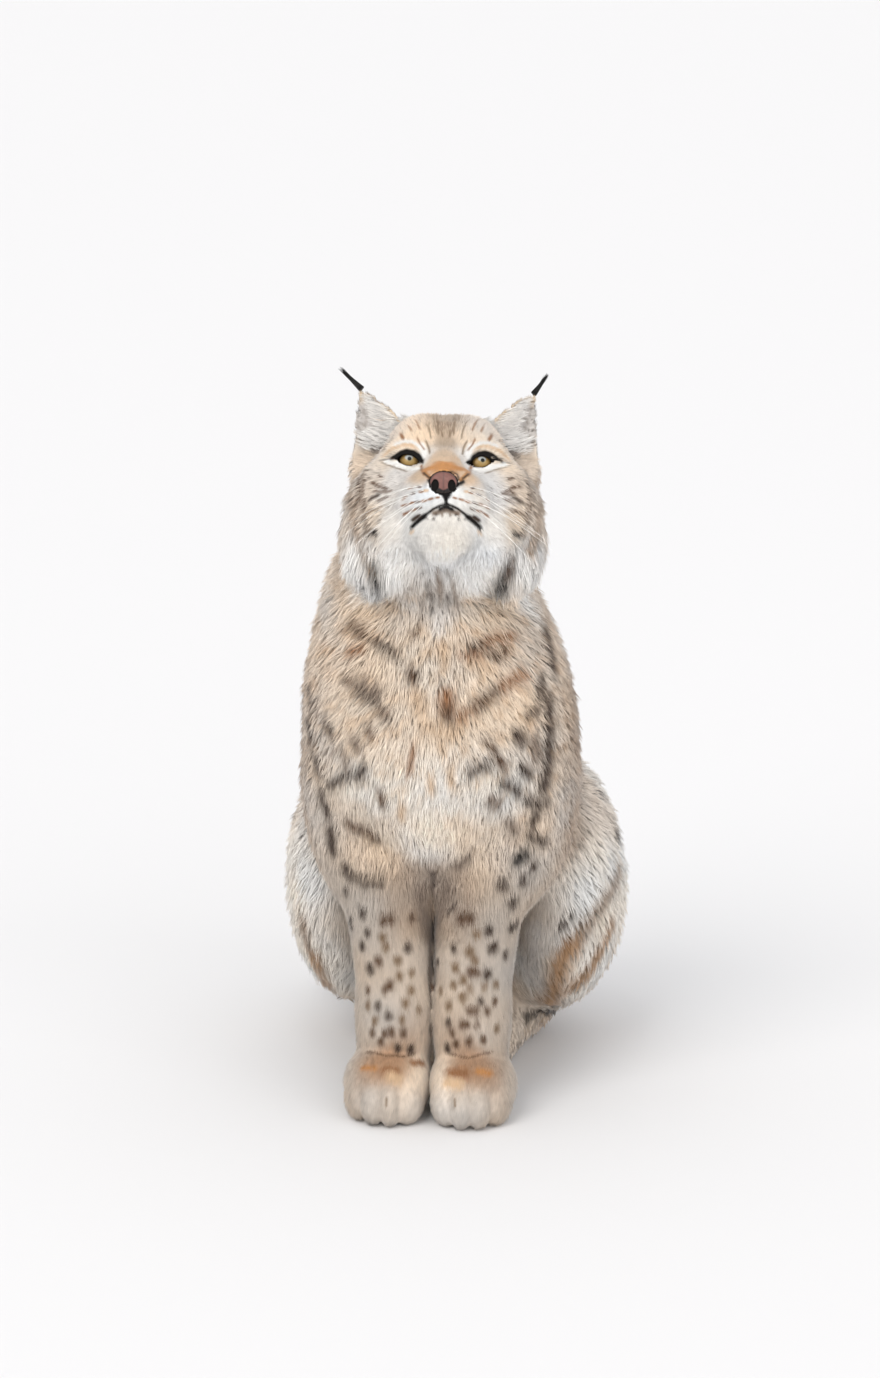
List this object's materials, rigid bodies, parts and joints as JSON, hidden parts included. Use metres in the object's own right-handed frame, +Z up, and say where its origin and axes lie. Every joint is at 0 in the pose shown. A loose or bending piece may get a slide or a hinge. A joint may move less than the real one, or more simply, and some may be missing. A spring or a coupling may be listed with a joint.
{
  "type": "lynx",
  "caption": "Eurasian lynx sitting upright with its head lifted, a still life-size model in thick spotted winter coat, standing on its forepaws and resting on haunches and hind feet",
  "frame": {"origin": "on the floor, in the middle of the animal's outline seen from above", "axes": "+Z up along the tallest extent, the animal faces -Y, its left side is +X"},
  "size_m": [0.3516, 0.5248, 0.7446],
  "materials": {
    "face_coat": "short dense fur, buff and white with brown streaks",
    "body_coat": "long soft winter fur, beige grey with brown spots, cream chest",
    "leg_coat": "short fur, buff with small dark spots",
    "ear_coat": "short fur, pale grey hair inside the cup",
    "tail_coat": "dense fur with a black tip",
    "ear_tuft": "stiff black hair",
    "nose_leather": "moist bare skin, pinkish brown",
    "eye": "wet and glossy, amber"
  },
  "bodies": {
    "root": {"head": "face_coat", "nose": "nose_leather", "eye_left": "eye", "eye_right": "eye", "ear_left": "ear_coat", "ear_right": "ear_coat", "ear_tuft_left": "ear_tuft", "ear_tuft_right": "ear_tuft", "neck": "body_coat", "chest": "body_coat", "rump": "body_coat", "tail": "tail_coat", "foreleg_left": "leg_coat", "foreleg_right": "leg_coat", "forepaw_left": "leg_coat", "forepaw_right": "leg_coat", "thigh_left": "body_coat", "thigh_right": "body_coat", "hind_foot_left": "leg_coat", "hind_foot_right": "leg_coat"}
  },
  "joints": []
}
